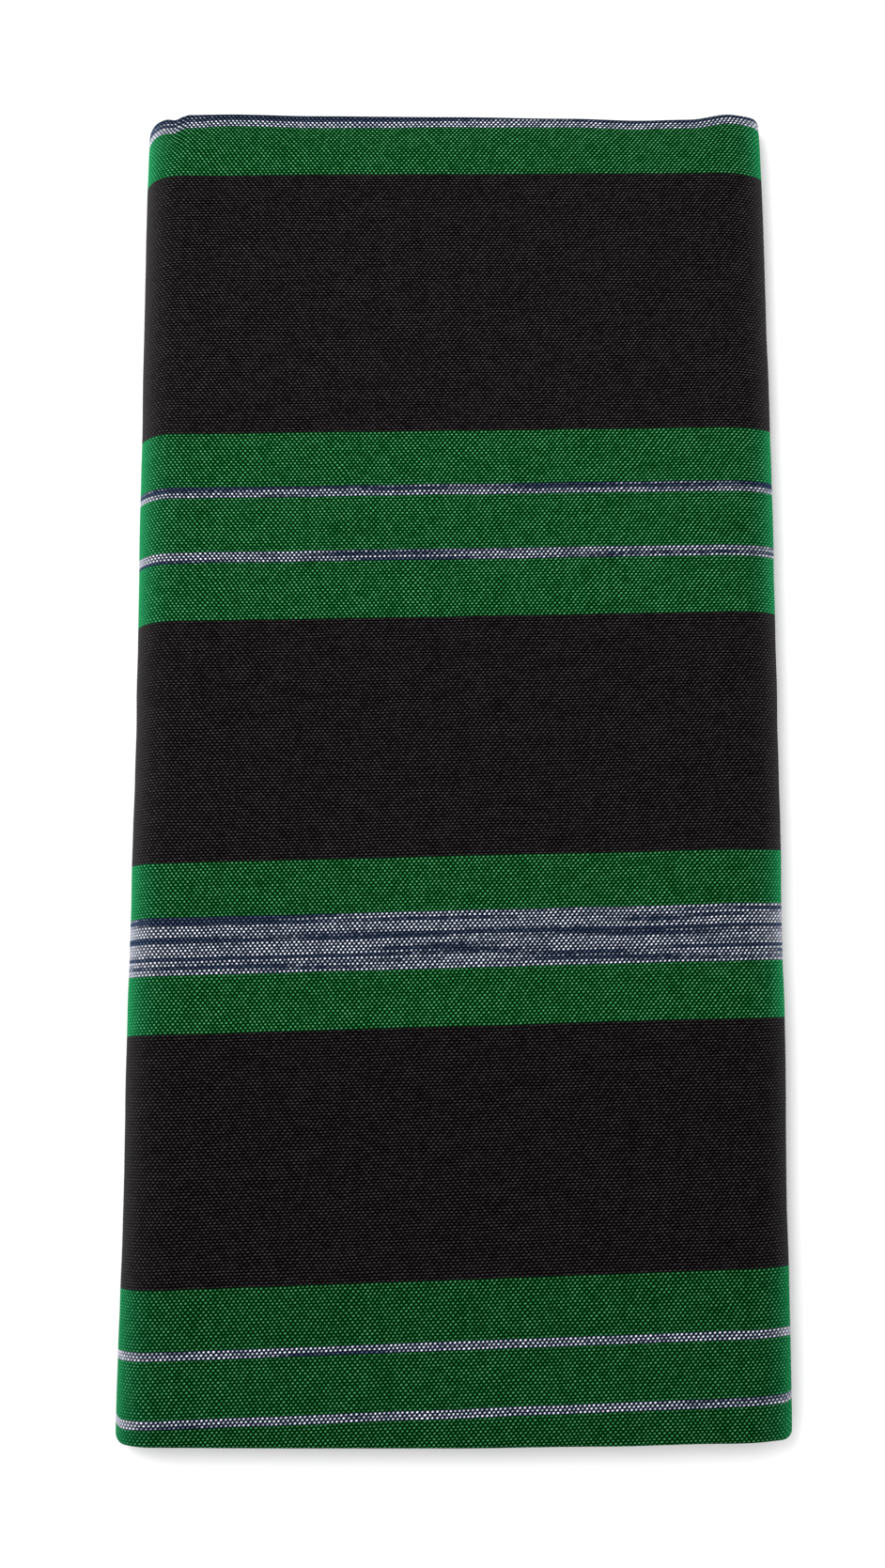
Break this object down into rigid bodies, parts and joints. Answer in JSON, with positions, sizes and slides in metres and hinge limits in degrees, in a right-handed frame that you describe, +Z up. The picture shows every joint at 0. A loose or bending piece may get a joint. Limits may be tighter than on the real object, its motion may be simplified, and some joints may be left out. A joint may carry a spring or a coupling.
{
  "type": "folded lungi",
  "caption": "Striped cotton lungi, a sewn tube of cloth folded into a long flat packet that lies on its underside.",
  "frame": {"origin": "on the surface, under the middle of the packet's box", "axes": "+Y along the packet towards its far end, +X towards the right fold, +Z up from the surface"},
  "size_m": [0.276, 0.575, 0.0192],
  "materials": {
    "striped_cotton": "coarse plain-weave cotton, black and green bands with navy and white stripes",
    "folded_cotton": "the same coarse cotton, seen at its folds and woven edges"
  },
  "bodies": {
    "root": {"outer_cloth": "striped_cotton", "hidden_layers": "folded_cotton"}
  },
  "joints": []
}
